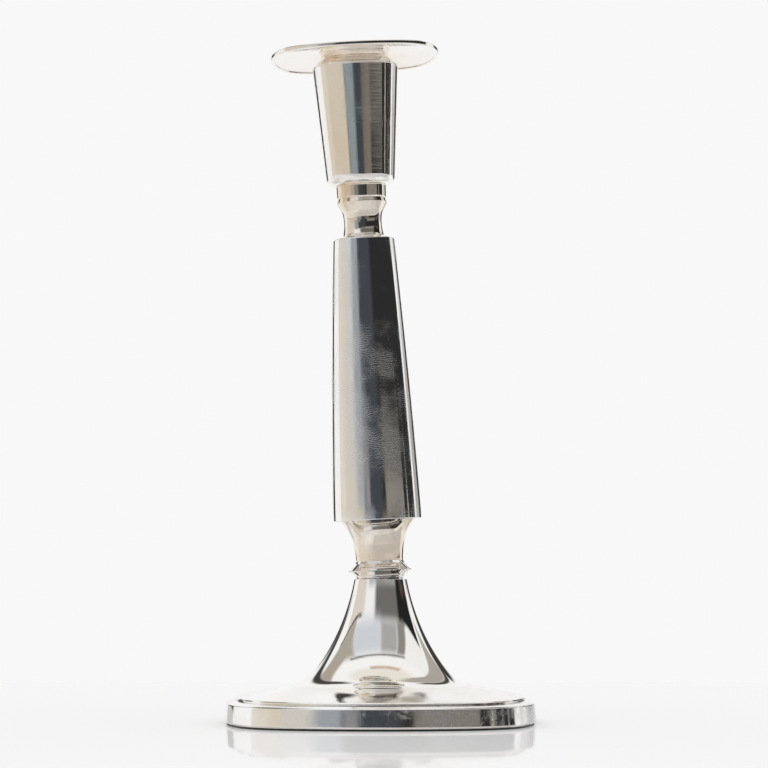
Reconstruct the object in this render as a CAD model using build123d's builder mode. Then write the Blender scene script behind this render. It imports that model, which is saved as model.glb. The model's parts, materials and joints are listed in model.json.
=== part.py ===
"""Altar candlestick: soft-square silvered shells clamped on a tie rod, with a lift-off drip pan.

Every visible piece shares one plan shape, a soft square with bowed sides and round corners.
A half width is measured from the axis to the middle of a side. The foot stands upright on the
plane z = 0. Everything above it, the stem, leans a little to -X from the top of the bell.
Heights on the stem are counted along its own axis, as if it stood straight on the table.
Lengths are in millimetres.
"""
from math import asin, cos, pi, sin, sqrt
import os

from build123d import *

os.makedirs("parts", exist_ok=True)

# Plan shape, as multiples of the half width.
SIDE_BOW = 1.8          # radius of each bowed side
CORNER_ROUND = 0.5      # radius of each corner

STEM_LEAN = 2.85        # degrees, to -X

# Sheet, solder and screw sizes.
WALL = 1.2              # sheet of the shells
ROD_RADIUS = 2.5        # M5 tie rod
ROD_HOLE = 2.75         # hole radius of the pieces threaded on the rod
THREAD_CLEARANCE = 0.04
NUT_ACROSS_FLATS = 8.0
NUT_HEIGHT = 4.0
WASHER_RADIUS = 8.0
WASHER_THICKNESS = 1.2
FIT_GAP = 0.15          # play round a piece that sits inside another

# Heights of the joins, from the table up.
RIM_BOTTOM = 0.7        # top of the felt
PLATE_SEAT = 8.9        # foot plate on base rim
BELL_SEAT = 13.5        # bell in foot plate
BELL_BRIM = 14.3        # top of the bell's edge, flush with the plate round it
KNOP_BOTTOM = 53.6
KNOP_EDGE = 56.9
KNOP_TOP = 60.4
SHAFT_BOTTOM = 75.5
SHAFT_TOP = 181.0
NECK_SEAT = 182.1
BEAD_BOTTOM = 194.7
COLLAR_BOTTOM = 196.4
SOCKET_BOTTOM = 201.4
SOCKET_ROUND_TOP = 204.8
SOCKET_RIM = 246.1
SHOULDER_TOP = 248.4    # sloping shoulder of the nozzle
BORDER_BOTTOM = 249.7
BORDER_TOP = 251.3
DOME_TOP = 253.7        # flat middle of the domed pan

# Half widths.
BASE_WIDE = 58.0
RIM_CAVITY = 54.8
RIM_MOUTH = 51.1
PLATE_EDGE = 53.9
BELL_FOOT = 33.0
BELL_MOUTH = 30.5       # opening in the plate, under the bell
BELL_TOP = 9.9
KNOP_WIDE = 12.1
NECK_WAIST = 8.9
NECK_HEAD = 14.0
SHAFT_FOOT = 16.7
SHAFT_HEAD = 11.6
UPPER_WAIST = 7.15
BEAD_WIDE = 9.4
SOCKET_FOOT = 13.0
SOCKET_WIDE = 16.1
PAN_WIDE = 31.8
DOME_WIDE = 13.0        # flat middle of the domed pan

# Candle bore.
CANDLE_RADIUS = 11.0
SLEEVE_WALL = 0.9
BORE_FLOOR = 222.3
SLEEVE_TOP = 254.2

# Angle that a bowed side turns through on each side of its middle, where it runs into a corner.
SIDE_ANGLE = pi / 4 - asin((SIDE_BOW - 1) / (SIDE_BOW - CORNER_ROUND) / sqrt(2))
# Corner centre, and the outermost point of the corner, along either plan axis.
CORNER_CENTRE = (SIDE_BOW - CORNER_ROUND) * sin(SIDE_ANGLE)
CORNER_TIP = CORNER_CENTRE + CORNER_ROUND / sqrt(2)

# The two frames that sections are drawn in: the foot's, and the stem's, which turns about the
# middle of the bell's top.
FOOT = Plane.XY
STEM_PIVOT = Vector(0, 0, KNOP_BOTTOM)
STEM_AXIS = Vector(0, 0, 1).rotate(Axis.Y, -STEM_LEAN)
STEM = Plane(
    origin=STEM_PIVOT - STEM_AXIS * KNOP_BOTTOM,
    x_dir=Vector(1, 0, 0).rotate(Axis.Y, -STEM_LEAN),
    z_dir=STEM_AXIS,
)

# ------------------------------------------------------------------ helpers


def soft_square(frame, half_width, height):
    """Face of the common plan shape at a height in a frame."""
    reach = half_width * SIDE_BOW * sin(SIDE_ANGLE)
    shoulder = half_width * (1 - SIDE_BOW * (1 - cos(SIDE_ANGLE)))
    tip = half_width * CORNER_TIP
    with BuildSketch(frame.offset(height)) as section:
        with BuildLine():
            for quarter in range(4):
                start, middle, end, corner, next_start = [
                    Vector(x, y).rotate(Axis.Z, -90 * quarter)
                    for x, y in (
                        (-reach, shoulder),
                        (0, half_width),
                        (reach, shoulder),
                        (tip, tip),
                        (shoulder, reach),
                    )
                ]
                ThreePointArc(start, middle, end)
                ThreePointArc(end, corner, next_start)
        make_face()
    return section.sketch.faces()[0]


def disc(frame, radius, height):
    """Round face at a height in a frame."""
    with BuildSketch(frame.offset(height)) as section:
        Circle(radius)
    return section.sketch.faces()[0]


def stack(frame, *corners):
    """Faces at the (half width, height) corners of a straight-sided profile."""
    return [soft_square(frame, half_width, height) for half_width, height in corners]


def along(frame, profile, steps, inset=0.0):
    """Faces at even steps along a curved profile, drawn as (half width, height)."""
    spots = [profile @ (step / steps) for step in range(steps + 1)]
    return [soft_square(frame, spot.X - inset, spot.Y) for spot in spots]


def finish(block, label):
    """Name a finished piece and write it."""
    block.part.label = label
    export_step(block.part, f"parts/{label}.step")


# ------------------------------------------------------------------ profile curves

with BuildLine() as plate_dome:
    ThreePointArc((PLATE_EDGE - 0.4, 10.0), (43.2, 12.1), (BELL_FOOT + 0.05, BELL_BRIM))

with BuildLine() as bell_sweep:
    Bezier((BELL_FOOT, BELL_BRIM), (27.9, 15.5), (14.7, 29.0), (BELL_TOP, KNOP_BOTTOM))

with BuildLine() as bell_hollow:
    Bezier((BELL_FOOT - 2.1, BELL_SEAT), (26.4, 14.6), (13.5, 28.4), (BELL_TOP - WALL, KNOP_BOTTOM))

with BuildLine() as lower_neck_sweep:
    Bezier((NECK_WAIST, KNOP_TOP), (9.1, 70.8), (NECK_HEAD, SHAFT_BOTTOM))

with BuildLine() as shaft_sweep:
    Bezier((SHAFT_FOOT, SHAFT_BOTTOM + 0.3), (15.1, 125.4), (SHAFT_HEAD, SHAFT_TOP - 0.3))

with BuildLine() as upper_neck_sweep:
    Spline((8.1, NECK_SEAT), (UPPER_WAIST, 186.6), (7.8, 191.0), (BEAD_WIDE, BEAD_BOTTOM))

with BuildLine() as socket_round:
    ThreePointArc((9.7, SOCKET_BOTTOM), (12.1, 202.5), (SOCKET_FOOT, SOCKET_ROUND_TOP))

# ------------------------------------------------------------------ foot

with BuildPart() as felt_pad:
    extrude(soft_square(FOOT, BASE_WIDE - 0.9, 0), amount=RIM_BOTTOM)
finish(felt_pad, "felt_pad")

with BuildPart() as closing_plate:
    extrude(soft_square(FOOT, RIM_CAVITY - FIT_GAP, RIM_BOTTOM), amount=WALL)
finish(closing_plate, "closing_plate")

RIM_ROOF = 7.2          # underside of the ledge
with BuildPart() as base_rim:
    loft(
        stack(
            FOOT,
            (BASE_WIDE - 0.6, RIM_BOTTOM),
            (BASE_WIDE, 1.3),
            (BASE_WIDE - 0.7, 7.6),
            (BASE_WIDE - 1.1, 8.0),
            (PLATE_EDGE + 0.3, PLATE_SEAT),
        ),
        ruled=True,
    )
    extrude(soft_square(FOOT, RIM_CAVITY, RIM_BOTTOM), amount=RIM_ROOF - RIM_BOTTOM, mode=Mode.SUBTRACT)
    extrude(soft_square(FOOT, RIM_MOUTH, RIM_ROOF), amount=PLATE_SEAT - RIM_ROOF, mode=Mode.SUBTRACT)
finish(base_rim, "base_rim")

with BuildPart() as foot_plate:
    loft(stack(FOOT, (PLATE_EDGE, PLATE_SEAT), (PLATE_EDGE, 9.6), (PLATE_EDGE - 0.4, 10.0)), ruled=True)
    loft(along(FOOT, plate_dome.line, 6))
    underside = stack(FOOT, (PLATE_EDGE - WALL, PLATE_SEAT), (BELL_MOUTH, BELL_SEAT - WALL))
    loft(underside, mode=Mode.SUBTRACT)
    extrude(soft_square(FOOT, BELL_FOOT + 0.05, BELL_SEAT), amount=WALL, mode=Mode.SUBTRACT)
    extrude(soft_square(FOOT, BELL_MOUTH, BELL_SEAT), amount=-2 * WALL, mode=Mode.SUBTRACT)
finish(foot_plate, "foot_plate")

with BuildPart() as bell_foot:
    extrude(soft_square(FOOT, BELL_FOOT, BELL_SEAT), amount=BELL_BRIM - BELL_SEAT)
    loft(along(FOOT, bell_sweep.line, 16))
    loft(along(FOOT, bell_hollow.line, 16), mode=Mode.SUBTRACT)
finish(bell_foot, "bell_foot")

FILLING_BOTTOM = RIM_BOTTOM + WALL
FILLING_JOIN = BELL_SEAT - WALL - FIT_GAP       # where the base filling meets the bell filling
FILLING_TOP = 50.0
NUT_RECESS_RADIUS = WASHER_RADIUS + 1.0
NUT_RECESS_TOP = 9.0
with BuildPart() as base_filling:
    extrude(soft_square(FOOT, RIM_CAVITY - FIT_GAP, FILLING_BOTTOM), amount=RIM_ROOF - FILLING_BOTTOM)
    extrude(soft_square(FOOT, RIM_MOUTH - FIT_GAP, FILLING_BOTTOM), amount=PLATE_SEAT - FILLING_BOTTOM)
    loft(stack(FOOT, (RIM_MOUTH - FIT_GAP, PLATE_SEAT), (BELL_MOUTH - FIT_GAP, FILLING_JOIN)))
    extrude(disc(FOOT, NUT_RECESS_RADIUS, 0), amount=NUT_RECESS_TOP, mode=Mode.SUBTRACT)
    extrude(disc(FOOT, ROD_HOLE, 0), amount=FILLING_TOP, mode=Mode.SUBTRACT)
finish(base_filling, "base_filling")

FILLING_INSET = 0.6     # of the filling from the bell's hollow
with BuildPart() as bell_filling:
    extrude(soft_square(FOOT, BELL_MOUTH - FIT_GAP, FILLING_JOIN), amount=BELL_SEAT - FILLING_JOIN)
    loft(along(FOOT, bell_hollow.line, 16, inset=FILLING_INSET))
    split(bisect_by=Plane.XY.offset(FILLING_TOP), keep=Keep.BOTTOM)
    extrude(disc(FOOT, ROD_HOLE, 0), amount=FILLING_TOP, mode=Mode.SUBTRACT)
finish(bell_filling, "bell_filling")

# ------------------------------------------------------------------ tie rod and its nuts


def washer(frame, height, label):
    """Flat washer on the rod, standing on a height."""
    with BuildPart() as ring:
        extrude(disc(frame, WASHER_RADIUS, height), amount=WASHER_THICKNESS)
        extrude(disc(frame, ROD_HOLE, height), amount=WASHER_THICKNESS, mode=Mode.SUBTRACT)
    finish(ring, label)


def nut(frame, height, label):
    """Hexagon nut on the rod, standing on a height."""
    thread = disc(frame, ROD_RADIUS + THREAD_CLEARANCE, height)
    with BuildPart() as hexagon:
        with BuildSketch(frame.offset(height)):
            RegularPolygon(NUT_ACROSS_FLATS / 2, 6, major_radius=False)
        extrude(amount=NUT_HEIGHT)
        extrude(thread, amount=NUT_HEIGHT, mode=Mode.SUBTRACT)
    finish(hexagon, label)


BASE_WASHER_BOTTOM = NUT_RECESS_TOP - WASHER_THICKNESS
SOCKET_FLOOR = SOCKET_BOTTOM + 1.7
TOP_NUT_BOTTOM = SOCKET_FLOOR + WASHER_THICKNESS
ROD_BOTTOM = BASE_WASHER_BOTTOM - NUT_HEIGHT - 1.0
ROD_TOP = TOP_NUT_BOTTOM + NUT_HEIGHT + 1.5

washer(FOOT, BASE_WASHER_BOTTOM, "base_washer")
nut(FOOT, BASE_WASHER_BOTTOM - NUT_HEIGHT, "base_nut")
washer(STEM, SOCKET_FLOOR, "top_washer")
nut(STEM, TOP_NUT_BOTTOM, "top_nut")

# The rod bends where the stem leaves the foot.
with BuildPart() as tie_rod:
    extrude(disc(FOOT, ROD_RADIUS, ROD_BOTTOM), amount=KNOP_BOTTOM - ROD_BOTTOM)
    extrude(disc(STEM, ROD_RADIUS, KNOP_BOTTOM), amount=ROD_TOP - KNOP_BOTTOM)
    with Locations(STEM_PIVOT):
        Sphere(ROD_RADIUS)
finish(tie_rod, "tie_rod")

# ------------------------------------------------------------------ knop and lower neck

KNOP_SPIGOT = BELL_TOP - WALL - FIT_GAP
SPIGOT_LENGTH = 3.0
KNOP_LAND = 0.3         # height of the blunt band at the knop's edge, each side of the join
KNOP_GROOVE = 9.0       # narrowest half width, between bell and knop
with BuildPart() as knop_lower:
    extrude(soft_square(FOOT, KNOP_SPIGOT, KNOP_BOTTOM), amount=-SPIGOT_LENGTH)
    leaning = stack(
        STEM,
        (KNOP_GROOVE + 0.1, KNOP_BOTTOM + 0.6),
        (KNOP_WIDE - 0.3, KNOP_EDGE - KNOP_LAND),
        (KNOP_WIDE, KNOP_EDGE),
    )
    loft([soft_square(FOOT, KNOP_GROOVE, KNOP_BOTTOM)] + leaning, ruled=True)
    extrude(disc(FOOT, ROD_HOLE, KNOP_BOTTOM - SPIGOT_LENGTH), amount=10.0, mode=Mode.SUBTRACT)
finish(knop_lower, "knop_lower")

with BuildPart() as knop_upper:
    loft(
        stack(
            STEM,
            (KNOP_WIDE, KNOP_EDGE),
            (KNOP_WIDE - 0.3, KNOP_EDGE + KNOP_LAND),
            (9.4, KNOP_TOP - 0.8),
            (NECK_WAIST, KNOP_TOP),
        ),
        ruled=True,
    )
    extrude(disc(STEM, ROD_HOLE, KNOP_EDGE), amount=10.0, mode=Mode.SUBTRACT)
finish(knop_upper, "knop_upper")

with BuildPart() as lower_neck:
    loft(along(STEM, lower_neck_sweep.line, 8))
    extrude(disc(STEM, ROD_HOLE, KNOP_TOP), amount=20.0, mode=Mode.SUBTRACT)
finish(lower_neck, "lower_neck")

# ------------------------------------------------------------------ shaft

EDGE_BREAK = 0.3        # bevel at the shaft's two ends
CAP_THICKNESS = 2.4
with BuildPart() as shaft_shell:
    loft(stack(STEM, (SHAFT_FOOT - EDGE_BREAK, SHAFT_BOTTOM), (SHAFT_FOOT, SHAFT_BOTTOM + EDGE_BREAK)))
    loft(along(STEM, shaft_sweep.line, 4))
    loft(stack(STEM, (SHAFT_HEAD, SHAFT_TOP - EDGE_BREAK), (SHAFT_HEAD - EDGE_BREAK, SHAFT_TOP)))
    extrude(soft_square(STEM, SHAFT_FOOT - WALL, SHAFT_BOTTOM), amount=EDGE_BREAK, mode=Mode.SUBTRACT)
    loft(along(STEM, shaft_sweep.line, 4, inset=WALL), mode=Mode.SUBTRACT)
    extrude(soft_square(STEM, SHAFT_HEAD - WALL, SHAFT_TOP), amount=-EDGE_BREAK, mode=Mode.SUBTRACT)
finish(shaft_shell, "shaft_shell")

with BuildPart() as shaft_bottom_cap:
    extrude(soft_square(STEM, SHAFT_FOOT - WALL - FIT_GAP, SHAFT_BOTTOM), amount=CAP_THICKNESS)
    extrude(disc(STEM, ROD_HOLE, SHAFT_BOTTOM), amount=CAP_THICKNESS, mode=Mode.SUBTRACT)
finish(shaft_bottom_cap, "shaft_bottom_cap")

with BuildPart() as shaft_top_cap:
    extrude(soft_square(STEM, SHAFT_HEAD - WALL - FIT_GAP, SHAFT_TOP), amount=-CAP_THICKNESS)
    loft(stack(STEM, (SHAFT_HEAD - EDGE_BREAK, SHAFT_TOP), (10.3, 181.6), (8.3, NECK_SEAT)), ruled=True)
    extrude(disc(STEM, ROD_HOLE, SHAFT_TOP - CAP_THICKNESS), amount=10.0, mode=Mode.SUBTRACT)
finish(shaft_top_cap, "shaft_top_cap")

# ------------------------------------------------------------------ upper neck and socket

with BuildPart() as upper_neck:
    loft(along(STEM, upper_neck_sweep.line, 9))
    loft(stack(STEM, (BEAD_WIDE, BEAD_BOTTOM), (BEAD_WIDE, 195.1), (8.95, COLLAR_BOTTOM)), ruled=True)
    extrude(disc(STEM, ROD_HOLE, NECK_SEAT), amount=20.0, mode=Mode.SUBTRACT)
finish(upper_neck, "upper_neck")

with BuildPart() as socket_collar:
    loft(
        stack(
            STEM,
            (8.95, COLLAR_BOTTOM),
            (9.3, COLLAR_BOTTOM + 0.5),
            (9.4, SOCKET_BOTTOM - 0.4),
            (9.2, SOCKET_BOTTOM),
        ),
        ruled=True,
    )
    extrude(disc(STEM, ROD_HOLE, COLLAR_BOTTOM), amount=10.0, mode=Mode.SUBTRACT)
finish(socket_collar, "socket_collar")

RIM_BEVEL = 0.3
with BuildPart() as socket_cup:
    loft(along(STEM, socket_round.line, 5))
    loft(
        stack(
            STEM,
            (SOCKET_FOOT, SOCKET_ROUND_TOP),
            (SOCKET_WIDE, SOCKET_RIM - RIM_BEVEL),
            (SOCKET_WIDE - RIM_BEVEL, SOCKET_RIM),
        ),
        ruled=True,
    )
    loft(
        stack(
            STEM,
            (9.8, SOCKET_FLOOR),
            (SOCKET_FOOT - WALL, SOCKET_FLOOR + 2.4),
            (SOCKET_WIDE - WALL, SOCKET_RIM),
        ),
        ruled=True,
        mode=Mode.SUBTRACT,
    )
    extrude(disc(STEM, ROD_HOLE, SOCKET_BOTTOM), amount=5.0, mode=Mode.SUBTRACT)
finish(socket_cup, "socket_cup")

# ------------------------------------------------------------------ lift-off nozzle

SLEEVE_RADIUS = CANDLE_RADIUS + SLEEVE_WALL
SLEEVE_BOTTOM = BORE_FLOOR - WALL
with BuildPart() as nozzle_sleeve:
    extrude(disc(STEM, SLEEVE_RADIUS, SLEEVE_BOTTOM), amount=SLEEVE_TOP - SLEEVE_BOTTOM)
    extrude(disc(STEM, CANDLE_RADIUS, BORE_FLOOR), amount=SLEEVE_TOP - BORE_FLOOR, mode=Mode.SUBTRACT)
finish(nozzle_sleeve, "nozzle_sleeve")

SLEEVE_HOLE = SLEEVE_RADIUS + 0.05
SKIRT_LENGTH = 4.6
DOME_UNDERSIDE = DOME_TOP - 0.9
with BuildLine() as collar_sweep:
    ThreePointArc((14.5, SHOULDER_TOP), (12.8, 250.8), (13.3, DOME_UNDERSIDE))

with BuildPart() as nozzle_collar:
    extrude(soft_square(STEM, 14.2, SOCKET_RIM), amount=-SKIRT_LENGTH)
    loft(stack(STEM, (15.7, SOCKET_RIM), (15.8, SOCKET_RIM + 0.4), (14.5, SHOULDER_TOP)), ruled=True)
    loft(along(STEM, collar_sweep.line, 5))
    extrude(disc(STEM, SLEEVE_HOLE, SOCKET_RIM - SKIRT_LENGTH), amount=20.0, mode=Mode.SUBTRACT)
finish(nozzle_collar, "nozzle_collar")

# The pan's plate rises from its edge to a flat middle, and lies on a lip inside the border.
LIP_TOP = BORDER_BOTTOM + 0.4
PLATE_RIM = PAN_WIDE - 0.9      # outer edge of the pan's plate
with BuildPart() as drip_pan:
    loft(
        stack(STEM, (PLATE_RIM, LIP_TOP), (PLATE_RIM, LIP_TOP + 0.8), (DOME_WIDE, DOME_TOP)),
        ruled=True,
    )
    loft(stack(STEM, (PLATE_RIM - 0.7, LIP_TOP), (DOME_WIDE + 1.0, DOME_UNDERSIDE)), mode=Mode.SUBTRACT)
    extrude(disc(STEM, SLEEVE_HOLE, LIP_TOP), amount=10.0, mode=Mode.SUBTRACT)
finish(drip_pan, "drip_pan")

with BuildPart() as pan_border:
    loft(
        stack(
            STEM,
            (PAN_WIDE - 0.3, BORDER_BOTTOM),
            (PAN_WIDE, BORDER_BOTTOM + 0.3),
            (PAN_WIDE, BORDER_TOP - 0.3),
            (PAN_WIDE - 0.3, BORDER_TOP),
        ),
        ruled=True,
    )
    extrude(soft_square(STEM, PLATE_RIM - 0.8, BORDER_BOTTOM), amount=1.0, mode=Mode.SUBTRACT)
    extrude(soft_square(STEM, PLATE_RIM + 0.05, LIP_TOP), amount=2.0, mode=Mode.SUBTRACT)
finish(pan_border, "pan_border")
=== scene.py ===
"""Altar candlestick in polished silver plate, on a pale glossy table.

The silver shells are rebuilt here as dense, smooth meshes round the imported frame, because a mirror
finish shows every facet. Each shell is one closed profile carried round the common plan shape, a soft
square with bowed sides. Profiles are written in millimetres as (half width, height) points, and the
meshes are in metres. The stem leans, so its profiles are carried along its own axis.
"""
import json
from math import asin, atan2, ceil, cos, pi, radians, sin, sqrt

import bpy
import numpy as np
from mathutils import Matrix, Vector


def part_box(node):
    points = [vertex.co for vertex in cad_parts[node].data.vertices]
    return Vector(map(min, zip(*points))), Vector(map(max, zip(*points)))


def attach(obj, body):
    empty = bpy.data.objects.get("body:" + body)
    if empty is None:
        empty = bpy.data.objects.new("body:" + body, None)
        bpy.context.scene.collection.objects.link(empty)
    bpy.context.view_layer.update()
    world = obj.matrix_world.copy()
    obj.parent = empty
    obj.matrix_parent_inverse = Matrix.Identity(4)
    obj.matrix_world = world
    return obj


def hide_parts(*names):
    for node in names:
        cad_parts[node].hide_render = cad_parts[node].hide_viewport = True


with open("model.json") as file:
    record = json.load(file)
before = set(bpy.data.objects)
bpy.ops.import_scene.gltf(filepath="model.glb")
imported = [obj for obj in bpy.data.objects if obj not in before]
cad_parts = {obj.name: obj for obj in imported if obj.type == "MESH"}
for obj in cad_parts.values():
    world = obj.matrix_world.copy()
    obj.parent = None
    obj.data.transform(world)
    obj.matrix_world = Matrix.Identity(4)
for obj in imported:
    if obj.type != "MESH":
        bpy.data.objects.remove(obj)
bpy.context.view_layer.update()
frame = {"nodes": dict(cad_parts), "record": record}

MM = 0.001

# ------------------------------------------------------------------ sizes, read from the frame


def top_of(node):
    """Height of a node's highest point, in millimetres."""
    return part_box(node)[1][2] / MM


def half_width(node):
    """Half of a node's widest extent across the lean, in millimetres."""
    low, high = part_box(node)
    return (high[1] - low[1]) / 2 / MM


# The stem's axis is the axis that the nozzle lifts along, and it turns about the bell's top.
LIFT_AXIS = Vector(frame["record"]["behaviour"]["joints"][0]["axis"]).normalized()
LEAN = atan2(-LIFT_AXIS.x, LIFT_AXIS.z)
PIVOT = top_of("bell_foot")


def stem_heights(node, low_half, high_half):
    """Heights along the stem of a node's two ends, whose half widths are given, from its box."""
    low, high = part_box(node)
    bottom = PIVOT + (low[2] / MM - PIVOT + low_half * sin(LEAN)) / cos(LEAN)
    top = PIVOT + (high[2] / MM - PIVOT - high_half * sin(LEAN)) / cos(LEAN)
    return bottom, top


# Half widths and heights, in millimetres. A number stands where no node's box shows the size.
RIM_BOTTOM = top_of("felt_pad")
PLATE_SEAT = top_of("base_rim")
BELL_BRIM = top_of("foot_plate")
BELL_SEAT = BELL_BRIM - 0.8     # floor of the recess that the bell's edge sits in
BASE_WIDE = half_width("base_rim")
PLATE_EDGE = half_width("foot_plate")
BELL_FOOT = half_width("bell_foot")
BELL_MOUTH = BELL_FOOT - 2.5    # opening in the plate, under the bell
BELL_TOP = 9.9
KNOP_WIDE = half_width("knop_lower")
NECK_WAIST = 8.9
NECK_HEAD = half_width("lower_neck")
SHAFT_FOOT = half_width("shaft_shell")
SHAFT_HEAD = 11.6
EDGE_BREAK = 0.3
BEAD_WIDE = half_width("upper_neck")
UPPER_FOOT = 8.1
SOCKET_WIDE = half_width("socket_cup")
SOCKET_FOOT = 13.0
PAN_WIDE = half_width("pan_border")
SLEEVE_RADIUS = half_width("nozzle_sleeve")
COLLAR_WIDE = half_width("socket_collar")
FLANGE_WIDE = half_width("nozzle_collar")
PLATE_RIM = PAN_WIDE - 0.9      # outer edge of the pan's plate
DOME_WIDE = 13.0        # flat middle of the pan
WALL = 1.2
ROD_HOLE = 2.75
COLLAR_FOOT = 8.95      # where the bead ends and the socket's collar starts
SOCKET_SEAT = 9.7       # where the socket's rounded bottom starts
SKIRT_WIDE = 14.2       # part of the nozzle's collar that drops into the socket
SKIRT_LENGTH = 4.6
CAP_THICKNESS = 2.4

KNOP_EDGE, KNOP_TOP = stem_heights("knop_upper", KNOP_WIDE, NECK_WAIST)
SHAFT_BOTTOM, SHAFT_TOP = stem_heights("shaft_shell", SHAFT_FOOT - EDGE_BREAK, SHAFT_HEAD - EDGE_BREAK)
NECK_SEAT, COLLAR_BOTTOM = stem_heights("upper_neck", UPPER_FOOT, COLLAR_FOOT)
SOCKET_BOTTOM, SOCKET_RIM = stem_heights("socket_cup", SOCKET_SEAT, SOCKET_WIDE - EDGE_BREAK)
LIP_TOP, DOME_TOP = stem_heights("drip_pan", PLATE_RIM, DOME_WIDE)
BORDER_BOTTOM, BORDER_TOP = stem_heights("pan_border", PAN_WIDE - 0.3, PAN_WIDE - 0.3)
SLEEVE_BOTTOM, SLEEVE_TOP = stem_heights("nozzle_sleeve", SLEEVE_RADIUS, SLEEVE_RADIUS)
CANDLE_RADIUS = SLEEVE_RADIUS - 0.9

# ------------------------------------------------------------------ plan shape

SIDE_BOW = 1.8
CORNER_ROUND = 0.5
SIDE_ANGLE = pi / 4 - asin((SIDE_BOW - 1) / (SIDE_BOW - CORNER_ROUND) / sqrt(2))
SIDE_STEPS = 34
CORNER_STEPS = 26


def plan_shapes():
    """Unit soft square and unit circle, point for point, and the outward normals they share."""
    facing = np.concatenate(
        [
            np.linspace(-SIDE_ANGLE, SIDE_ANGLE, SIDE_STEPS, endpoint=False),
            np.linspace(SIDE_ANGLE, pi / 2 - SIDE_ANGLE, CORNER_STEPS, endpoint=False),
        ]
    )
    on_side = facing < SIDE_ANGLE
    centre = (SIDE_BOW - CORNER_ROUND) * sin(SIDE_ANGLE)
    radius = np.where(on_side, SIDE_BOW, CORNER_ROUND)
    x = np.where(on_side, 0.0, centre) + radius * np.sin(facing)
    y = np.where(on_side, 1 - SIDE_BOW, centre) + radius * np.cos(facing)
    quarter = np.column_stack([x, y])
    normal = np.column_stack([np.sin(facing), np.cos(facing)])
    turns = [np.array([[cos(a), -sin(a)], [sin(a), cos(a)]]) for a in (0, pi / 2, pi, 3 * pi / 2)]
    square = np.vstack([quarter @ turn for turn in turns])
    normals = np.vstack([normal @ turn for turn in turns])
    # Turned clockwise above; flipped so that both run anticlockwise seen from the top.
    return square[::-1], normals[::-1]


SQUARE, FACING = plan_shapes()

# ------------------------------------------------------------------ profiles


def curve(start, *rest, steps=16):
    """Points along a Bezier curve, each with a corner radius of 0."""
    points = np.array([start, *rest], float)
    spots = []
    for t in np.linspace(0, 1, steps + 1):
        level = points
        while len(level) > 1:
            level = level[:-1] * (1 - t) + level[1:] * t
        spots.append((level[0][0], level[0][1], 0))
    return spots


def arc(start, middle, end, steps=10):
    """Points along the circle through three points, each with a corner radius of 0."""
    (ax, ay), (bx, by), (cx, cy) = start, middle, end
    d = 2 * (ax * (by - cy) + bx * (cy - ay) + cx * (ay - by))
    a2, b2, c2 = ax * ax + ay * ay, bx * bx + by * by, cx * cx + cy * cy
    ux = (a2 * (by - cy) + b2 * (cy - ay) + c2 * (ay - by)) / d
    uy = (a2 * (cx - bx) + b2 * (ax - cx) + c2 * (bx - ax)) / d
    angles = [atan2(y - uy, x - ux) for x, y in (start, middle, end)]
    for i in (1, 2):
        while angles[i] - angles[i - 1] > pi:
            angles[i] -= 2 * pi
        while angles[i] - angles[i - 1] < -pi:
            angles[i] += 2 * pi
    radius = sqrt((ax - ux) ** 2 + (ay - uy) ** 2)
    spots = np.linspace(angles[0], angles[2], steps + 1)
    return [(ux + radius * cos(a), uy + radius * sin(a), 0) for a in spots]


def soften(corners, steps=5):
    """Closed profile as points and unit tangents. A corner with a radius becomes an arc.

    A point of a sampled curve has radius 0 and keeps its place.
    """
    count = len(corners)
    xy = np.array([c[:2] for c in corners], float)
    points, tangents = [], []
    for i, corner in enumerate(corners):
        before, here, after = xy[i - 1], xy[i], xy[(i + 1) % count]
        to_here, onward = here - before, after - here
        length_in, length_out = np.linalg.norm(to_here), np.linalg.norm(onward)
        to_here, onward = to_here / length_in, onward / length_out
        turn = atan2(to_here[0] * onward[1] - to_here[1] * onward[0], float(to_here @ onward))
        radius = corner[2]
        if radius == 0:
            tangent = to_here * length_out + onward * length_in
            points.append(here)
            tangents.append(tangent / np.linalg.norm(tangent))
            continue
        reach = min(radius * abs(np.tan(turn / 2)), 0.45 * length_in, 0.45 * length_out)
        radius = reach / abs(np.tan(turn / 2))
        side = 1 if turn > 0 else -1
        start = here - to_here * reach
        centre = start + side * radius * np.array([-to_here[1], to_here[0]])
        for step in range(steps + 1):
            angle = turn * step / steps
            c, s = cos(angle), sin(angle)
            tangent = np.array([to_here[0] * c - to_here[1] * s, to_here[0] * s + to_here[1] * c])
            points.append(centre + side * radius * np.array([tangent[1], -tangent[0]]))
            tangents.append(tangent)
    return np.array(points), np.array(tangents)


def refine(points, tangents, roundness, longest):
    """Extra rows on straight stretches, so that no quad is much longer than it needs to be."""
    out_points, out_tangents, out_round = [], [], []
    count = len(points)
    for i in range(count):
        j = (i + 1) % count
        pieces = max(1, ceil(np.linalg.norm(points[j] - points[i]) / longest))
        for k in range(pieces):
            t = k / pieces
            out_points.append(points[i] * (1 - t) + points[j] * t)
            tangent = tangents[i] * (1 - t) + tangents[j] * t
            out_tangents.append(tangent / np.linalg.norm(tangent))
            out_round.append(roundness[i] * (1 - t) + roundness[j] * t)
    return np.array(out_points), np.array(out_tangents), np.array(out_round)


# ------------------------------------------------------------------ shells

STAND, NOZZLE = "stand", "nozzle"
ROUND_MARGIN = 0.3      # how far past a round hole's radius its points still follow a circle
ROD_RING = ROD_HOLE + ROUND_MARGIN
STEM_TURN = Matrix.Rotation(-LEAN, 4, "Y")
STEM_FRAME = Matrix.Translation((0, 0, PIVOT * MM)) @ STEM_TURN @ Matrix.Translation((0, 0, -PIVOT * MM))
FOOT_FRAME = Matrix.Identity(4)


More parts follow.
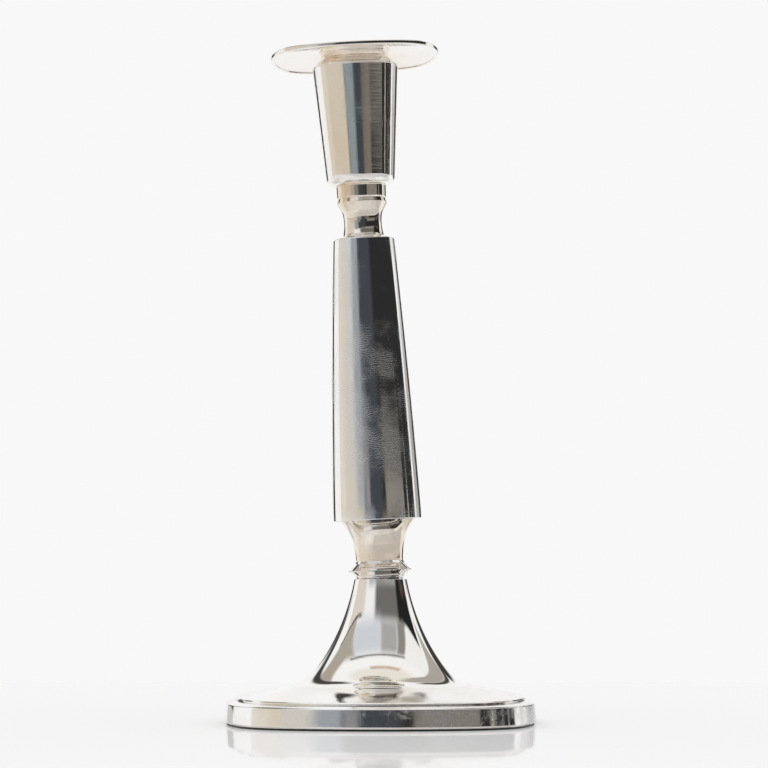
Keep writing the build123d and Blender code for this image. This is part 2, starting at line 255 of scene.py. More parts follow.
def shell(node, body, place, profile, material, round_from=None, longest=4.0):
    """One closed silver piece: a profile carried round the plan shape, in place of a CAD node.

    profile runs round the section with the metal on its left, as (half width, height, corner radius).
    Points whose half width is under round_from follow a circle, and the others the soft square.
    No stretch between two rows is more than longest.
    """
    points, tangents = soften(profile)
    roundness = np.zeros(len(points))
    if round_from is not None:
        roundness = (points[:, 0] < round_from).astype(float)
    points, tangents, roundness = refine(points, tangents, roundness, longest)
    rows, columns = len(points), len(SQUARE)
    plan = SQUARE[None] * (1 - roundness[:, None, None]) + FACING[None] * roundness[:, None, None]
    support = (plan * FACING[None]).sum(2)
    half, height = points[:, 0], points[:, 1]
    xyz = np.empty((rows, columns, 3))
    xyz[:, :, :2] = plan * half[:, None, None]
    xyz[:, :, 2] = height[:, None]
    normal = np.empty_like(xyz)
    normal[:, :, :2] = FACING[None] * tangents[:, 1, None, None]
    normal[:, :, 2] = -support * tangents[:, 0, None]
    xyz = xyz.reshape(-1, 3) * MM
    normal = normal.reshape(-1, 3)
    normal /= np.linalg.norm(normal, axis=1, keepdims=True)
    quads = []
    for row in range(rows):
        upper = (row + 1) % rows
        for column in range(columns):
            beside = (column + 1) % columns
            quads.append(
                (
                    row * columns + column,
                    row * columns + beside,
                    upper * columns + beside,
                    upper * columns + column,
                )
            )
    turn = np.array(place.to_3x3())
    shift = np.array(place.translation)
    mesh = bpy.data.meshes.new("silver_" + node)
    mesh.from_pydata((xyz @ turn.T + shift).tolist(), [], quads)
    mesh.update()
    mesh.shade_smooth()
    mesh.normals_split_custom_set_from_vertices((normal @ turn.T).tolist())
    mesh.materials.append(material)
    piece = bpy.data.objects.new("silver_" + node, mesh)
    bpy.context.collection.objects.link(piece)
    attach(piece, body)
    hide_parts(node)
    return piece


# ------------------------------------------------------------------ materials


class Nodes:
    """Short hand for building a node tree."""

    def __init__(self, tree):
        self.tree = tree
        tree.nodes.clear()

    def add(self, kind, links=None, **values):
        """A node, with its properties set by name and its inputs linked or set by name or number."""
        node = self.tree.nodes.new(kind)
        for key, value in values.items():
            setattr(node, key, value)
        for key, value in (links or {}).items():
            socket = node.inputs[key]
            if isinstance(value, bpy.types.NodeSocket):
                self.tree.links.new(value, socket)
            else:
                socket.default_value = value
        return node

    def math(self, operation, first, second=0.0, clamp=False):
        """Result of a sum on one or two inputs."""
        inputs = {0: first, 1: second}
        return self.add("ShaderNodeMath", inputs, operation=operation, use_clamp=clamp).outputs[0]

    def mix(self, factor, first, second):
        """Blend of two colours, each linked or given as red, green and blue."""
        node = self.add("ShaderNodeMix", {"Factor": factor}, data_type="RGBA")
        for socket, value in ((node.inputs[6], first), (node.inputs[7], second)):
            if isinstance(value, bpy.types.NodeSocket):
                self.tree.links.new(value, socket)
            else:
                socket.default_value = (*value, 1)
        return node.outputs[2]

    def ramp(self, factor, *stops):
        """Grey values at positions, as a colour ramp."""
        node = self.add("ShaderNodeValToRGB", {"Fac": factor})
        elements = node.color_ramp.elements
        while len(elements) < len(stops):
            elements.new(0.5)
        for element, (position, value) in zip(elements, stops):
            element.position = position
            element.color = (value, value, value, 1)
        return node.outputs[0]

    def noise(self, vector, scale, detail=2.0, roughness=0.5):
        """Value of a noise texture."""
        inputs = {
            "Vector": vector,
            "Scale": scale,
            "Detail": detail,
            "Roughness": roughness,
        }
        return self.add("ShaderNodeTexNoise", inputs).outputs["Fac"]

    def stretched(self, vector, scale, rotation=(0, 0, 0)):
        """Place turned and scaled, to stretch a texture."""
        return self.add(
            "ShaderNodeMapping", {"Vector": vector, "Scale": scale, "Rotation": rotation}
        ).outputs[0]


def new_material(name):
    """Empty material and the short hand for its nodes."""
    material = bpy.data.materials.new(name)
    material.use_nodes = True
    return material, Nodes(material.node_tree)


def silver(name, warmth=0.25, patina=0.0, prints=0.0, wipe=0.5):
    """Polished silver plate: warm tarnish in patches, wipe marks, hair scratches and finger marks.

    patina is the share of tarnish that lies everywhere, and warmth that of its patches.
    """
    material, n = new_material(name)
    place = n.add("ShaderNodeTexCoord").outputs["Object"]
    cloud = n.noise(place, 38.0, 3.0)
    tarnish = n.ramp(cloud, (0.42, 0.0), (0.72, 1.0))
    tarnish = n.math("MULTIPLY", tarnish, warmth)
    specks = n.ramp(n.noise(place, 900.0, 3.0, 0.7), (0.52, 0.0), (0.68, 0.6))
    tarnish = n.math("ADD", tarnish, n.math("MULTIPLY", specks, warmth))
    tarnish = n.math("ADD", tarnish, patina, clamp=True)
    colour = n.mix(tarnish, (0.955, 0.945, 0.925), (0.80, 0.66, 0.50))
    # Wipe marks run round the piece; hair scratches run every way.
    wiped = n.noise(n.stretched(place, (60, 60, 1400)), 1.0, 2.0, 0.6)
    wiped = n.ramp(wiped, (0.5, 0.0), (0.78, 1.0))
    hair_a = n.noise(n.stretched(place, (2600, 2600, 60), (0.5, 0.3, 0.2)), 1.0, 1.0)
    hair_b = n.noise(n.stretched(place, (2200, 2200, 45), (-0.7, 0.6, 1.1)), 1.0, 1.0)
    hair_a = n.ramp(hair_a, (0.66, 0.0), (0.74, 1.0))
    hair_b = n.ramp(hair_b, (0.67, 0.0), (0.75, 1.0))
    hairs = n.math("ADD", hair_a, hair_b)
    where = n.ramp(n.noise(place, 55.0, 2.0), (0.45, 0.15), (0.65, 1.0))
    hairs = n.math("MULTIPLY", hairs, where, clamp=True)
    rough = n.math("MULTIPLY", wiped, 0.05 * wipe)
    rough = n.math("ADD", rough, n.math("MULTIPLY", hairs, 0.10 * wipe))
    rough = n.math("ADD", rough, 0.035)
    bump = n.math("MULTIPLY", wiped, 0.35 * wipe)
    bump = n.math("ADD", bump, n.math("MULTIPLY", hairs, 0.8 * wipe))
    if prints:
        # Each cell is one finger mark: fine ridges bent round the cell's middle, in broken patches.
        cell = n.add("ShaderNodeTexVoronoi", {"Vector": place, "Scale": 62.0, "Randomness": 1.0})
        ridge_place = n.mix(0.35, place, cell.outputs["Position"])
        ridges = n.add(
            "ShaderNodeTexWave",
            {
                "Vector": ridge_place,
                "Scale": 640.0,
                "Distortion": 14.0,
                "Detail": 2.0,
                "Detail Scale": 0.6,
            },
            wave_type="RINGS",
            rings_direction="SPHERICAL",
        ).outputs["Fac"]
        patch = n.ramp(n.noise(place, 48.0, 3.0, 0.6), (0.46, 0.0), (0.6, 1.0))
        smear = n.noise(n.stretched(place, (70, 70, 30), (0.2, 0.5, 0)), 1.0, 3.0)
        smear = n.ramp(smear, (0.45, 0.0), (0.7, 1.0))
        mark = n.math("MULTIPLY", patch, n.math("ADD", n.math("MULTIPLY", ridges, 0.7), 0.3))
        dust = n.ramp(n.noise(place, 2600.0, 2.0, 0.7), (0.5, 0.0), (0.68, 1.0))
        dusty_smear = n.math("MULTIPLY", smear, n.math("ADD", n.math("MULTIPLY", dust, 0.5), 0.15))
        mark = n.math("ADD", mark, dusty_smear)
        mark = n.math("ADD", mark, n.math("MULTIPLY", dust, 0.12), clamp=True)
        rough = n.math("ADD", rough, n.math("MULTIPLY", mark, 0.17 * prints))
        colour = n.mix(n.math("MULTIPLY", mark, 0.2 * prints), colour, (0.78, 0.80, 0.84))
    bumped = n.add("ShaderNodeBump", {"Height": bump, "Strength": 0.12, "Distance": 0.0001})
    shader = n.add(
        "ShaderNodeBsdfPrincipled",
        {"Base Color": colour, "Roughness": rough, "Metallic": 1.0, "Normal": bumped.outputs[0]},
    )
    n.add("ShaderNodeOutputMaterial", {"Surface": shader.outputs[0]})
    return material


def steel(name):
    """Zinc-plated steel: dull grey with mottled crystals and a turned grain."""
    material, n = new_material(name)
    place = n.add("ShaderNodeTexCoord").outputs["Object"]
    flakes = n.add("ShaderNodeTexVoronoi", {"Vector": place, "Scale": 900.0}).outputs["Color"]
    flake = n.add("ShaderNodeSeparateColor", {"Color": flakes}).outputs[0]
    grain = n.noise(n.stretched(place, (200, 200, 4000)), 1.0, 2.0)
    colour = n.mix(flake, (0.50, 0.51, 0.53), (0.62, 0.63, 0.65))
    rough = n.math("ADD", n.math("MULTIPLY", grain, 0.25), 0.25)
    bumped = n.add("ShaderNodeBump", {"Height": grain, "Strength": 0.3, "Distance": 0.00005})
    shader = n.add(
        "ShaderNodeBsdfPrincipled",
        {"Base Color": colour, "Roughness": rough, "Metallic": 1.0, "Normal": bumped.outputs[0]},
    )
    n.add("ShaderNodeOutputMaterial", {"Surface": shader.outputs[0]})
    return material


def plaster(name):
    """Cast plaster: chalky, with pits left by air and a few darker grains."""
    material, n = new_material(name)
    place = n.add("ShaderNodeTexCoord").outputs["Object"]
    chalk = n.noise(place, 140.0, 5.0, 0.6)
    pits = n.add("ShaderNodeTexVoronoi", {"Vector": place, "Scale": 420.0}).outputs["Distance"]
    pits = n.ramp(pits, (0.05, 0.0), (0.22, 1.0))
    colour = n.mix(chalk, (0.74, 0.72, 0.67), (0.86, 0.84, 0.80))
    height = n.math("ADD", n.math("MULTIPLY", pits, 0.6), n.math("MULTIPLY", chalk, 0.4))
    bumped = n.add("ShaderNodeBump", {"Height": height, "Strength": 0.5, "Distance": 0.0004})
    shader = n.add(
        "ShaderNodeBsdfPrincipled", {"Base Color": colour, "Roughness": 0.9, "Normal": bumped.outputs[0]}
    )
    n.add("ShaderNodeOutputMaterial", {"Surface": shader.outputs[0]})
    return material


def baize(name):
    """Dark baize: matted fibres with a little lint."""
    material, n = new_material(name)
    place = n.add("ShaderNodeTexCoord").outputs["Object"]
    fibre = n.noise(n.stretched(place, (3000, 700, 3000), (0, 0, 0.4)), 1.0, 3.0, 0.7)
    cross = n.noise(n.stretched(place, (700, 3000, 3000), (0, 0, 0.9)), 1.0, 3.0, 0.7)
    mat = n.math("MULTIPLY", n.math("ADD", fibre, cross), 0.5)
    lint = n.ramp(n.noise(place, 1500.0, 2.0), (0.72, 0.0), (0.8, 0.25))
    colour = n.mix(n.ramp(mat, (0.35, 0.0), (0.65, 1.0)), (0.012, 0.014, 0.013), (0.035, 0.042, 0.038))
    colour = n.mix(lint, colour, (0.30, 0.30, 0.28))
    bumped = n.add("ShaderNodeBump", {"Height": mat, "Strength": 0.8, "Distance": 0.0003})
    shader = n.add(
        "ShaderNodeBsdfPrincipled",
        {"Base Color": colour, "Roughness": 0.95, "Sheen Weight": 0.3, "Normal": bumped.outputs[0]},
    )
    n.add("ShaderNodeOutputMaterial", {"Surface": shader.outputs[0]})
    return material


SILVER_BASE = silver("silver_base", warmth=0.3, prints=1.3, wipe=1.0)
SILVER_BRIGHT = silver("silver_bright", warmth=0.15, wipe=0.4)
SILVER_NECK = silver("silver_neck", warmth=0.7, patina=0.3, wipe=0.6)
SILVER_SHAFT = silver("silver_shaft", warmth=0.1, prints=1.5, wipe=0.6)
SILVER_SOCKET = silver("silver_socket", warmth=0.25, prints=0.9, wipe=1.2)
SILVER_PAN = silver("silver_pan", warmth=0.3, patina=0.12, prints=0.2, wipe=0.6)

# ------------------------------------------------------------------ foot

RIM_ROOF = PLATE_SEAT - 1.7
RIM_CAVITY = BASE_WIDE - 3.2
RIM_MOUTH = BASE_WIDE - 6.9
shell(
    "base_rim",
    STAND,
    FOOT_FRAME,
    [
        (RIM_CAVITY, RIM_BOTTOM, 0.1),
        (BASE_WIDE - 0.6, RIM_BOTTOM, 0.15),
        (BASE_WIDE - 0.1, 1.3, 0.5),
        (BASE_WIDE - 0.6, 7.7, 0.5),
        (BASE_WIDE - 1.3, 8.15, 0.6),
        (PLATE_EDGE + 0.3, PLATE_SEAT - 0.03, 0.1),
        (PLATE_EDGE - 0.2, PLATE_SEAT, 0.1),
        (RIM_MOUTH, PLATE_SEAT, 0.1),
        (RIM_MOUTH, RIM_ROOF, 0.1),
        (RIM_CAVITY, RIM_ROOF, 0.1),
    ],
    SILVER_BASE,
)

shell(
    "foot_plate",
    STAND,
    FOOT_FRAME,
    [
        (PLATE_EDGE - WALL, PLATE_SEAT, 0.1),
        (PLATE_EDGE - 0.15, PLATE_SEAT, 0.1),
        (PLATE_EDGE, 9.5, 0.2),
        (PLATE_EDGE - 0.35, 9.95, 0.2),
        *arc((PLATE_EDGE - 0.8, 10.05), (43.2, 12.1), (BELL_FOOT + 0.05, BELL_BRIM), steps=14)[1:-1],
        (BELL_FOOT + 0.05, BELL_BRIM, 0.02),
        (BELL_FOOT + 0.05, BELL_SEAT, 0.05),
        (BELL_MOUTH, BELL_SEAT, 0.1),
        (BELL_MOUTH, BELL_SEAT - WALL, 0.1),
    ],
    SILVER_BASE,
)

BELL_CURVE = ((27.9, 15.5), (14.7, 29.0), (BELL_TOP, PIVOT))
BELL_HOLLOW = ((BELL_TOP - WALL, PIVOT), (13.5, 28.4), (26.4, 14.6), (BELL_FOOT - 2.1, BELL_SEAT))
shell(
    "bell_foot",
    STAND,
    FOOT_FRAME,
    [
        (BELL_FOOT, BELL_BRIM, 0.02),
        *curve((BELL_FOOT, BELL_BRIM), *BELL_CURVE, steps=40)[1:-1],
        (BELL_TOP, PIVOT, 0.25),
        (BELL_TOP - WALL, PIVOT, 0.2),
        *curve(*BELL_HOLLOW, steps=24)[1:-1],
        (BELL_FOOT - 2.1, BELL_SEAT, 0.1),
        (BELL_FOOT, BELL_SEAT, 0.05),
    ],
    SILVER_BRIGHT,
    longest=1.5,
)

# ------------------------------------------------------------------ knop and lower neck

SPIGOT = BELL_TOP - WALL - 0.15
GROOVE = 9.0
shell(
    "knop_lower",
    STAND,
    STEM_FRAME,
    [
        (ROD_HOLE, PIVOT - 2.5, 0.1),
        (SPIGOT - 0.2, PIVOT - 2.5, 0.2),
        (SPIGOT - 0.2, PIVOT + 0.35, 0.1),
        (GROOVE, PIVOT + 0.45, 0.1),
        (GROOVE + 0.15, PIVOT + 0.8, 0.4),
        (KNOP_WIDE - 0.35, KNOP_EDGE - 0.35, 0.3),
        (KNOP_WIDE, KNOP_EDGE, 0.15),
        (ROD_HOLE, KNOP_EDGE, 0.1),
    ],
    SILVER_BRIGHT,
    round_from=ROD_RING,
)
shell(
    "knop_upper",
    STAND,
    STEM_FRAME,
    [
        (ROD_HOLE, KNOP_EDGE, 0.1),
        (KNOP_WIDE, KNOP_EDGE, 0.15),
        (KNOP_WIDE - 0.35, KNOP_EDGE + 0.35, 0.3),
        (9.4, KNOP_TOP - 0.9, 0.8),
        (NECK_WAIST, KNOP_TOP, 0.1),
        (ROD_HOLE, KNOP_TOP, 0.1),
    ],
    SILVER_BRIGHT,
    round_from=ROD_RING,
)
shell(
    "lower_neck",
    STAND,
    STEM_FRAME,
    [
        (ROD_HOLE, KNOP_TOP, 0.1),
        *curve((NECK_WAIST, KNOP_TOP), (9.1, 70.8), (NECK_HEAD, SHAFT_BOTTOM), steps=24),
        (ROD_HOLE, SHAFT_BOTTOM, 0.1),
    ],
    SILVER_NECK,
    round_from=ROD_RING,
    longest=2.0,
)

# ------------------------------------------------------------------ shaft

SHAFT_START = (SHAFT_FOOT, SHAFT_BOTTOM + EDGE_BREAK)
SHAFT_BELLY = (15.1, 125.4)
SHAFT_END = (SHAFT_HEAD, SHAFT_TOP - EDGE_BREAK)
shell(
    "shaft_shell",
    STAND,
    STEM_FRAME,
    [
        (SHAFT_FOOT - WALL, SHAFT_BOTTOM, 0.1),
        (SHAFT_FOOT - 0.1, SHAFT_BOTTOM, 0.35),
        *curve(SHAFT_START, SHAFT_BELLY, SHAFT_END, steps=32)[1:-1],
        (SHAFT_HEAD - 0.05, SHAFT_TOP, 0.35),
        (SHAFT_HEAD - WALL, SHAFT_TOP, 0.1),
    ],
    SILVER_SHAFT,
)
shell(
    "shaft_bottom_cap",
    STAND,
    STEM_FRAME,
    [
        (ROD_HOLE, SHAFT_BOTTOM, 0.1),
        (SHAFT_FOOT - WALL - 0.1, SHAFT_BOTTOM, 0.1),
        (SHAFT_FOOT - WALL - 0.1, SHAFT_BOTTOM + CAP_THICKNESS, 0.1),
        (ROD_HOLE, SHAFT_BOTTOM + CAP_THICKNESS, 0.1),
    ],
    SILVER_BRIGHT,
    round_from=ROD_RING,
)
shell(
    "shaft_top_cap",
    STAND,
    STEM_FRAME,
    [
        (ROD_HOLE, SHAFT_TOP - CAP_THICKNESS, 0.1),
        (SHAFT_HEAD - WALL - 0.1, SHAFT_TOP - CAP_THICKNESS, 0.1),
        (SHAFT_HEAD - WALL - 0.1, SHAFT_TOP, 0.02),
        (SHAFT_HEAD - EDGE_BREAK - 0.1, SHAFT_TOP, 0.1),
        (10.3, SHAFT_TOP + 0.55, 0.8),
        (8.3, NECK_SEAT, 0.2),
        (ROD_HOLE, NECK_SEAT, 0.1),
    ],
    SILVER_BRIGHT,
    round_from=ROD_RING,
)

# ------------------------------------------------------------------ upper neck and socket

BEAD_BOTTOM = COLLAR_BOTTOM - 1.7
shell(
    "upper_neck",
    STAND,
    STEM_FRAME,
    [
        (ROD_HOLE, NECK_SEAT, 0.1),
        (UPPER_FOOT, NECK_SEAT, 0.15),
        *curve((UPPER_FOOT, NECK_SEAT), (6.85, 184.6), (6.95, 190.4), (7.9, 191.9), steps=18)[1:],
        (BEAD_WIDE - 0.25, BEAD_BOTTOM - 0.3, 0.6),
        (BEAD_WIDE, BEAD_BOTTOM + 0.2, 0.25),
        (COLLAR_FOOT, COLLAR_BOTTOM, 0.15),
        (ROD_HOLE, COLLAR_BOTTOM, 0.1),
    ],
    SILVER_NECK,
    round_from=ROD_RING,
    longest=2.0,
)
shell(
    "socket_collar",
    STAND,
    STEM_FRAME,
    [
        (ROD_HOLE, COLLAR_BOTTOM, 0.1),
        (COLLAR_FOOT, COLLAR_BOTTOM, 0.1),
        (COLLAR_WIDE - 0.1, COLLAR_BOTTOM + 0.5, 0.3),
        (COLLAR_WIDE, SOCKET_BOTTOM - 0.35, 0.3),
        (COLLAR_WIDE - 0.25, SOCKET_BOTTOM, 0.1),
        (ROD_HOLE, SOCKET_BOTTOM, 0.1),
    ],
    SILVER_NECK,
    round_from=ROD_RING,
)

SOCKET_FLOOR = SOCKET_BOTTOM + 1.7
ROUND_TOP = SOCKET_BOTTOM + 3.4
SOCKET_SWELL = (12.1, SOCKET_BOTTOM + 1.1)      # middle of the rounded bottom
shell(
    "socket_cup",
    STAND,
    STEM_FRAME,
    [
        (ROD_HOLE, SOCKET_BOTTOM, 0.1),
        *arc((SOCKET_SEAT, SOCKET_BOTTOM), SOCKET_SWELL, (SOCKET_FOOT, ROUND_TOP), steps=12),
        (SOCKET_WIDE, SOCKET_RIM - EDGE_BREAK, 0.25),
        (SOCKET_WIDE - 0.3, SOCKET_RIM, 0.2),
        (SOCKET_WIDE - WALL, SOCKET_RIM, 0.2),
        (SOCKET_FOOT - WALL, SOCKET_FLOOR + 2.4, 1.5),
        (9.8, SOCKET_FLOOR, 1.0),
        (ROD_HOLE, SOCKET_FLOOR, 0.1),
    ],
    SILVER_SOCKET,
    round_from=ROD_RING,
)

# ------------------------------------------------------------------ lift-off nozzle

shell(
    "nozzle_sleeve",
    NOZZLE,
    STEM_FRAME,
    [
        (0.05, SLEEVE_BOTTOM, 0.01),
        (SLEEVE_RADIUS, SLEEVE_BOTTOM, 0.5),
        (SLEEVE_RADIUS, SLEEVE_TOP, 0.3),
        (CANDLE_RADIUS, SLEEVE_TOP, 0.35),
        (CANDLE_RADIUS, SLEEVE_BOTTOM + WALL, 0.5),
        (0.05, SLEEVE_BOTTOM + WALL, 0.01),
    ],
    SILVER_PAN,
    round_from=2 * SLEEVE_RADIUS,
)
SLEEVE_HOLE = SLEEVE_RADIUS + 0.05
SHOULDER_TOP = SOCKET_RIM + 2.3
DOME_UNDERSIDE = DOME_TOP - 0.9
shell(
    "nozzle_collar",
    NOZZLE,
    STEM_FRAME,
    [
        (SLEEVE_HOLE, SOCKET_RIM - SKIRT_LENGTH, 0.1),
        (SKIRT_WIDE, SOCKET_RIM - SKIRT_LENGTH, 0.3),
        (SKIRT_WIDE, SOCKET_RIM, 0.05),
        (FLANGE_WIDE - 0.1, SOCKET_RIM, 0.1),
        (FLANGE_WIDE, SOCKET_RIM + 0.4, 0.2),
        (14.5, SHOULDER_TOP, 0.25),
        *arc((14.5, SHOULDER_TOP), (12.8, 250.8), (13.3, DOME_UNDERSIDE), steps=10)[1:],
        (SLEEVE_HOLE, DOME_UNDERSIDE, 0.1),
    ],
    SILVER_NECK,
    round_from=SLEEVE_HOLE + ROUND_MARGIN,
)
shell(
    "drip_pan",
    NOZZLE,
    STEM_FRAME,
    [
        (SLEEVE_HOLE, DOME_UNDERSIDE, 0.05),
        (DOME_WIDE + 1.0, DOME_UNDERSIDE, 3.0),
        (PLATE_RIM - 0.7, LIP_TOP, 0.1),
        (PLATE_RIM, LIP_TOP, 0.05),
        (PLATE_RIM, LIP_TOP + 0.8, 0.2),
        (DOME_WIDE, DOME_TOP, 3.0),
        (SLEEVE_HOLE, DOME_TOP, 0.1),
    ],
    SILVER_PAN,
    round_from=SLEEVE_HOLE + ROUND_MARGIN,
)
shell(
    "pan_border",
    NOZZLE,
    STEM_FRAME,
    [
        (PLATE_RIM - 0.8, BORDER_BOTTOM, 0.15),
        (PAN_WIDE - 0.3, BORDER_BOTTOM, 0.35),
        (PAN_WIDE, BORDER_BOTTOM + 0.3, 0.35),
        (PAN_WIDE, BORDER_TOP - 0.3, 0.35),
        (PAN_WIDE - 0.3, BORDER_TOP, 0.35),
        (PLATE_RIM + 0.05, BORDER_TOP, 0.2),
        (PLATE_RIM + 0.05, LIP_TOP, 0.05),
        (PLATE_RIM - 0.8, LIP_TOP, 0.1),
    ],
    SILVER_PAN,
)

# ------------------------------------------------------------------ carried-over CAD nodes

STEEL = steel("zinc_plated_steel")
PLASTER = plaster("cast_plaster")
BAIZE = baize("dark_baize")
CARRIED = {
    "closing_plate": STEEL,
    "base_nut": STEEL,
    "base_washer": STEEL,
    "tie_rod": STEEL,
    "top_washer": STEEL,
    "top_nut": STEEL,
    "base_filling": PLASTER,
    "bell_filling": PLASTER,
    "felt_pad": BAIZE,
}
for node, material in CARRIED.items():
    mesh = frame["nodes"][node].data
    mesh.materials.clear()
    mesh.materials.append(material)

# ------------------------------------------------------------------ table, studio and camera

TABLE_BACK = 0.392      # the table's far edge, behind the candlestick
TABLE_FRONT = -2.5
TABLE_SIDE = 2.5
TABLE_THICKNESS = 0.02
TABLE_EDGE = 0.004      # radius of the far edge


def table_top():
    """Pale glossy table with a rounded far edge."""
    section = [(TABLE_FRONT, -TABLE_THICKNESS), (TABLE_FRONT, 0.0)]
    for step in range(7):
        angle = pi / 2 * step / 6
        across = TABLE_BACK - TABLE_EDGE + TABLE_EDGE * sin(angle)
        section.append((across, -TABLE_EDGE + TABLE_EDGE * cos(angle)))
    section.append((TABLE_BACK, -TABLE_THICKNESS))
    mesh = bpy.data.meshes.new("table")
    count = len(section)
    vertices = [(x, y, z) for x in (-TABLE_SIDE, TABLE_SIDE) for y, z in section]
    faces = [(i, (i + 1) % count, (i + 1) % count + count, i + count) for i in range(count)]
    faces += [tuple(range(count))[::-1], tuple(range(count, 2 * count))]
    mesh.from_pydata(vertices, [], faces)
    mesh.update()
    table = bpy.data.objects.new("table", mesh)
    bpy.context.collection.objects.link(table)
    material, n = new_material("pale_table")
    diffuse = n.add("ShaderNodeBsdfDiffuse", {"Color": (0.96, 0.96, 0.96, 1)})
    gloss = n.add("ShaderNodeBsdfGlossy", {"Color": (1, 1, 1, 1), "Roughness": 0.04})
    both = n.add("ShaderNodeMixShader", {0: 0.36, 1: diffuse.outputs[0], 2: gloss.outputs[0]})
    n.add("ShaderNodeOutputMaterial", {"Surface": both.outputs[0]})
    mesh.materials.append(material)


table_top()


def studio():
    """World: pale to the camera, even to matt surfaces, and a studio with dark and warm cards in gloss.

    Directions in the studio are an azimuth in degrees from -Y towards +X, and an elevation.
    """
    world = bpy.data.worlds.new("studio")
    bpy.context.scene.world = world
    world.use_nodes = True
    n = Nodes(world.node_tree)
    direction = n.add("ShaderNodeTexCoord").outputs["Generated"]
    axes = n.add("ShaderNodeSeparateXYZ", {"Vector": direction})
    x, y, z = axes.outputs
    azimuth = n.math("MULTIPLY", n.math("ARCTAN2", x, n.math("MULTIPLY", y, -1.0)), 180 / pi)
    elevation = n.math("MULTIPLY", n.math("ARCSINE", z), 180 / pi)

    def step_up(value, edge, blur):
        """0 below an edge and 1 above it, over a blur in degrees."""
        node = n.add(
            "ShaderNodeMapRange",
            {"Value": value, "From Min": edge - blur / 2, "From Max": edge + blur / 2},
            interpolation_type="SMOOTHSTEP",
        )
        return node.outputs[0]

    def window(value, low, high, blur):
        """1 between two edges."""
        past = n.math("SUBTRACT", 1.0, step_up(value, high, blur))
        return n.math("MULTIPLY", step_up(value, low, blur), past)

    colour = ROOM
    for low, high, bottom, top, blur, paint in CARDS.values():
        across = window(azimuth, low, high, blur)
        upright = window(elevation, bottom, top, max(blur, SOFTEST_UPRIGHT))
        colour = n.mix(n.math("MULTIPLY", across, upright), colour, paint)
    gloss = n.add("ShaderNodeBackground", {"Color": colour, "Strength": 1.0})
    pale = n.add("ShaderNodeBackground", {"Color": (0.939, 0.939, 0.939, 1), "Strength": 1.0})
    even = n.add("ShaderNodeBackground", {"Color": (1, 1, 1, 1), "Strength": 1.0})
    path = n.add("ShaderNodeLightPath")
    is_diffuse = path.outputs["Is Diffuse Ray"]
    is_camera = path.outputs["Is Camera Ray"]
    soft = n.add("ShaderNodeMixShader", {0: is_diffuse, 1: gloss.outputs[0], 2: even.outputs[0]})
    shown = n.add("ShaderNodeMixShader", {0: is_camera, 1: soft.outputs[0], 2: pale.outputs[0]})
    n.add("ShaderNodeOutputWorld", {"Surface": shown.outputs[0]})


# Colour of the room where no card hides it.
ROOM = (0.95, 0.95, 0.95)
SOFTEST_UPRIGHT = 2.0   # least blur of a card's lower and upper edges, in degrees

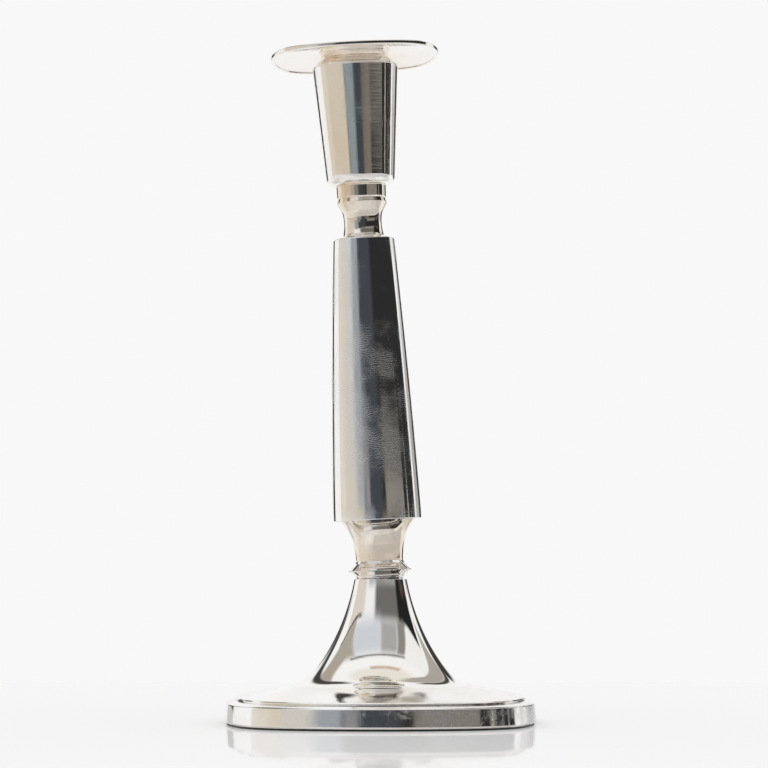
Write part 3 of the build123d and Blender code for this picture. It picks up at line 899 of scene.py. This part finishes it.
# Azimuth from and to, elevation from and to, blur, colour. Later cards cover earlier ones.
CARDS = {
    "warm ceiling": (-180, 180, 76, 90, 6, (0.84, 0.80, 0.74)),
    "beam": (-28, 55, 75.5, 78.5, 2, (0.60, 0.47, 0.38)),
    "high left wall": (-142, -48, 39, 64, 7, (0.42, 0.38, 0.325)),
    "left wall": (-100, -19, 3, 39, 6, (0.72, 0.66, 0.59)),
    "left wall, cool end": (-46, -20, 3, 24, 12, (0.63, 0.64, 0.65)),
    "left wall, low": (-98, -14, -8, 3, 6, (0.72, 0.65, 0.55)),
    "left wall, low and near": (-64, -14, -8, 3, 22, (0.60, 0.52, 0.41)),
    "left wall's cornice": (-112, -38, 37.5, 40, 2, (0.12, 0.08, 0.055)),
    "left lamp": (-34, -12, 22, 42, 8, (0.90, 0.90, 0.92)),
    "behind left, low": (-163, -150, -3, 12, 4, (0.05, 0.045, 0.04)),
    "behind left, high": (-157, -142, 10, 70, 7, (0.06, 0.055, 0.05)),
    "behind right, low": (150, 165, -3, 20, 4, (0.05, 0.045, 0.04)),
    "behind right, high": (150, 158, 18, 65, 4, (0.06, 0.055, 0.05)),
    "camera side": (-17, 112, -8, 22, 6, (0.026, 0.026, 0.027)),
    "camera side, cool middle": (-17, 9, -8, 22, 7, (0.054, 0.062, 0.075)),
    "camera side, cool edge": (-28, -16, 3, 24, 7, (0.32, 0.35, 0.39)),
    "low cool card": (-17, -4, -8, 3, 5, (0.27, 0.31, 0.33)),
    "low warm card": (8, 21, -8, 3, 5, (0.20, 0.17, 0.14)),
    "low pale slot": (-15, -9, 3, 8, 3, (0.28, 0.27, 0.28)),
    "low taupe card": (14, 46, 2.5, 8.5, 3, (0.25, 0.235, 0.21)),
    "low slot": (64, 69, 2, 8, 2, (0.52, 0.47, 0.40)),
    "camera side, high": (-12, 60, 22, 43, 9, (0.16, 0.155, 0.15)),
    "slit one": (84.6, 86, -2, 5, 1, (0.60, 0.58, 0.55)),
    "slit two": (97.2, 98.8, -2, 6, 1, (0.60, 0.58, 0.55)),
    "black flag": (36, 106, 20, 44, 5, (0.018, 0.018, 0.018)),
    "brown patch": (60, 80, 20, 27, 5, (0.10, 0.065, 0.045)),
    "overhead panel, left": (-50, 0, 41, 64, 13, (0.62, 0.65, 0.70)),
    "overhead panel, middle": (0, 32, 42, 64, 10, (0.40, 0.40, 0.395)),
    "overhead panel, right": (32, 46, 42, 64, 5, (0.27, 0.255, 0.23)),
    "panel edge": (-60, 60, 64.5, 66, 1.5, (0.16, 0.15, 0.14)),
    "right panel": (48, 116, 43.5, 70, 5, (0.90, 0.90, 0.90)),
    "high right wall": (117, 150, 24, 78, 7, (0.42, 0.39, 0.35)),
    "right patch": (128, 150, 1, 9, 5, (0.42, 0.40, 0.38)),
}
studio()

# The camera stands level with the bell, 1.1 m away, and looks slightly up.
EYE = Vector((0.0013, -1.100, 0.058))
PITCH = radians(3.569)
camera_data = bpy.data.cameras.new("camera")
camera_data.lens = 137.65
camera_data.sensor_width = 36.0
camera = bpy.data.objects.new("camera", camera_data)
bpy.context.collection.objects.link(camera)
camera.location = EYE
camera.rotation_euler = (pi / 2 + PITCH, 0, 0)
bpy.context.scene.camera = camera

bpy.context.scene.view_settings.view_transform = "Standard"
bpy.context.scene.view_settings.look = "None"
